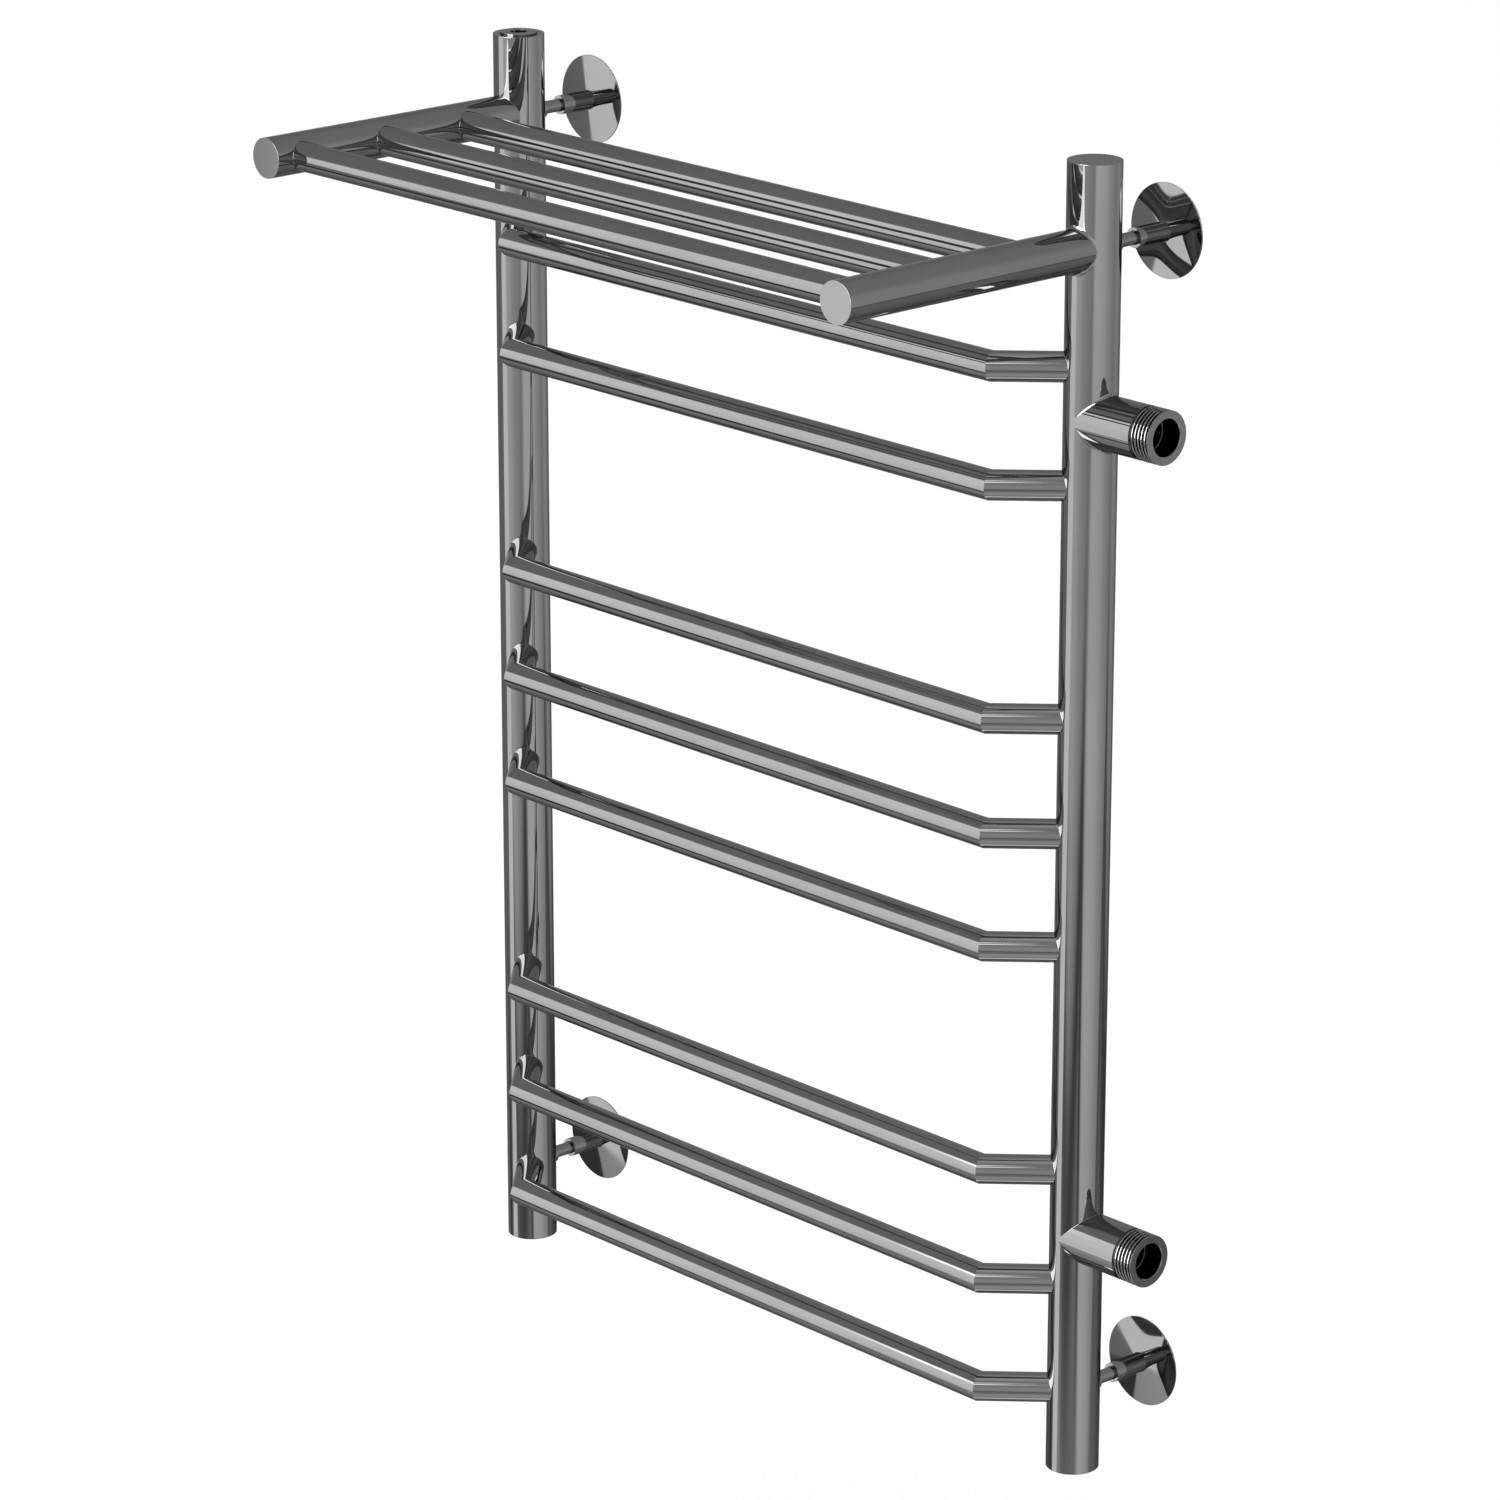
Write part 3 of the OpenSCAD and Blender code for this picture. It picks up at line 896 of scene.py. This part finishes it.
def glints(azimuth, elevation):
    """Greys that two bright panes and a thin slanting strip add."""
    panes = UPPER_PANE_GREY * patch(elevation, UPPER_PANE) + LOWER_PANE_GREY * patch(elevation, LOWER_PANE)
    strip = hump(azimuth, -135.5 + 0.42 * (elevation - 20.5), 0.6) * patch(elevation, STRIP_ENDS)
    return patch(azimuth, PANES) * panes + STRIP_GREY * strip


def contact_shade(azimuth, elevation, floor_line):
    """The share of grey lost at the foot of the far walls."""
    strength = 0.25 + 0.17 * smooth(np.abs(azimuth - 15), 40, 60)
    strength = strength * smooth(np.abs(azimuth - 88), 32, 46)
    return strength * hump(elevation, floor_line - 1, 2.2) * (floor_line > HIGH_FLOOR_LINE)


def room_light(azimuth, elevation):
    """Light that comes from each direction."""
    panel, back_right = patch(azimuth, PANEL), patch(azimuth, BACK_RIGHT)
    floor_line = floor_edge(azimuth, panel > 0.5)
    softness = np.where(panel > 0.5, 2.0, 0.6)
    below = smooth(floor_line - elevation, -softness, softness)
    upper = upper_greys(azimuth, elevation, panel, back_right)
    level = blend(upper, lower_greys(azimuth, elevation, back_right), below)
    # painted shade where the wall meets the floor beside the panel
    level = blend(level, CORNER_SHADE_GREY, corner_shade(azimuth, elevation))
    level = blend(level, LOW_LIGHT_GREY, low_light(azimuth, elevation)) + glints(azimuth, elevation)
    light = grey_to_light(level * (1 - contact_shade(azimuth, elevation, floor_line)))
    window = patch(np.mod(azimuth, 360), WINDOW_SIDES) * patch(elevation, WINDOW_ENDS)
    return blend(light, WINDOW_LIGHT, window)


def reflected_room():
    """A dome that only reflections see, so far away that it looks the same from every part of the metal."""
    columns, rows, radius, pole_gap = 720, 240, 300.0, 0.5
    azimuths = np.linspace(-180, 180, columns, endpoint=False)
    elevations = np.linspace(pole_gap - 90, 90 - pole_gap, rows)
    azimuths, elevations = np.meshgrid(azimuths, elevations)
    a, e = np.radians(azimuths), np.radians(elevations)
    points = radius * np.stack([np.sin(a) * np.cos(e), np.cos(a) * np.cos(e), np.sin(e)], -1)
    verts, faces = shell(list(points), False)
    mesh = bpy.data.meshes.new("reflected_room")
    mesh.from_pydata(verts, [], faces)
    light = room_light(azimuths, elevations).ravel()
    colors = np.stack([light, light, light, np.ones_like(light)], -1).astype(np.float32)
    mesh.color_attributes.new("light", "FLOAT_COLOR", "POINT").data.foreach_set("color", colors.ravel())
    obj = in_scene("reflected_room", mesh)
    material = bpy.data.materials.new("reflected_room")
    material.use_nodes = True
    nodes, links = material.node_tree.nodes, material.node_tree.links
    nodes.clear()
    attribute = nodes.new("ShaderNodeAttribute")
    attribute.attribute_name = "light"
    emission = nodes.new("ShaderNodeEmission")
    output = nodes.new("ShaderNodeOutputMaterial")
    links.new(attribute.outputs["Color"], emission.inputs["Color"])
    links.new(emission.outputs["Emission"], output.inputs["Surface"])
    mesh.materials.append(material)
    obj.visible_camera = obj.visible_diffuse = obj.visible_shadow = False
    obj.visible_transmission = obj.visible_volume_scatter = False


# ---- studio ----

def white_floor():
    """A floor that reflections don't see."""
    reach, drop = 60.0, 0.25
    low = box_of("left_bottom_cap")[0][2] - drop
    corners = [(x * reach, y * reach, low) for x, y in ((-1, -1), (1, -1), (1, 1), (-1, 1))]
    mesh = bpy.data.meshes.new("floor")
    mesh.from_pydata(corners, [], [(0, 1, 2, 3)])
    mesh.materials.append(new_material("floor", (0.9, 0.9, 0.9), 0, 0.9)[0])
    floor = in_scene("floor", mesh)
    floor.visible_glossy = False


def white_world():
    world = bpy.data.worlds.new("studio")
    bpy.context.scene.world = world
    world.use_nodes = True
    background = world.node_tree.nodes["Background"]
    background.inputs["Color"].default_value = (0.97, 0.97, 0.97, 1)
    background.inputs["Strength"].default_value = 1.07


def key_lamp():
    """A soft lamp from above the camera's side, which reflections don't see."""
    key = bpy.data.lights.new("key", "AREA")
    key.shape, key.size, key.energy = "SQUARE", 4.0, 60.0
    lamp = in_scene("key", key)
    lamp.location = (1.0, -2.5, 4.0)
    lamp.rotation_euler = (-Vector(lamp.location)).to_track_quat("-Z", "Y").to_euler()
    lamp.visible_glossy = False


def camera():
    """The photo's view: directions from the target to the camera, and a distance in metres."""
    azimuth, elevation, distance = math.radians(47.56), math.radians(17.81), 3.6
    target = Vector((0.0528, -0.1425, 0.0227))
    level = math.cos(elevation)
    back = Vector((math.sin(azimuth) * level, -math.cos(azimuth) * level, math.sin(elevation)))
    data = bpy.data.cameras.new("camera")
    data.sensor_width, data.lens = 36, 145.2
    cam = in_scene("camera", data)
    cam.location = target + back * distance
    cam.rotation_mode = "QUATERNION"
    cam.rotation_quaternion = (-back).to_track_quat("-Z", "Y")
    bpy.context.scene.camera = cam


reflected_room()
white_floor()
white_world()
key_lamp()
camera()
bpy.context.scene.view_settings.view_transform = "Standard"
bpy.context.scene.view_settings.look = "None"
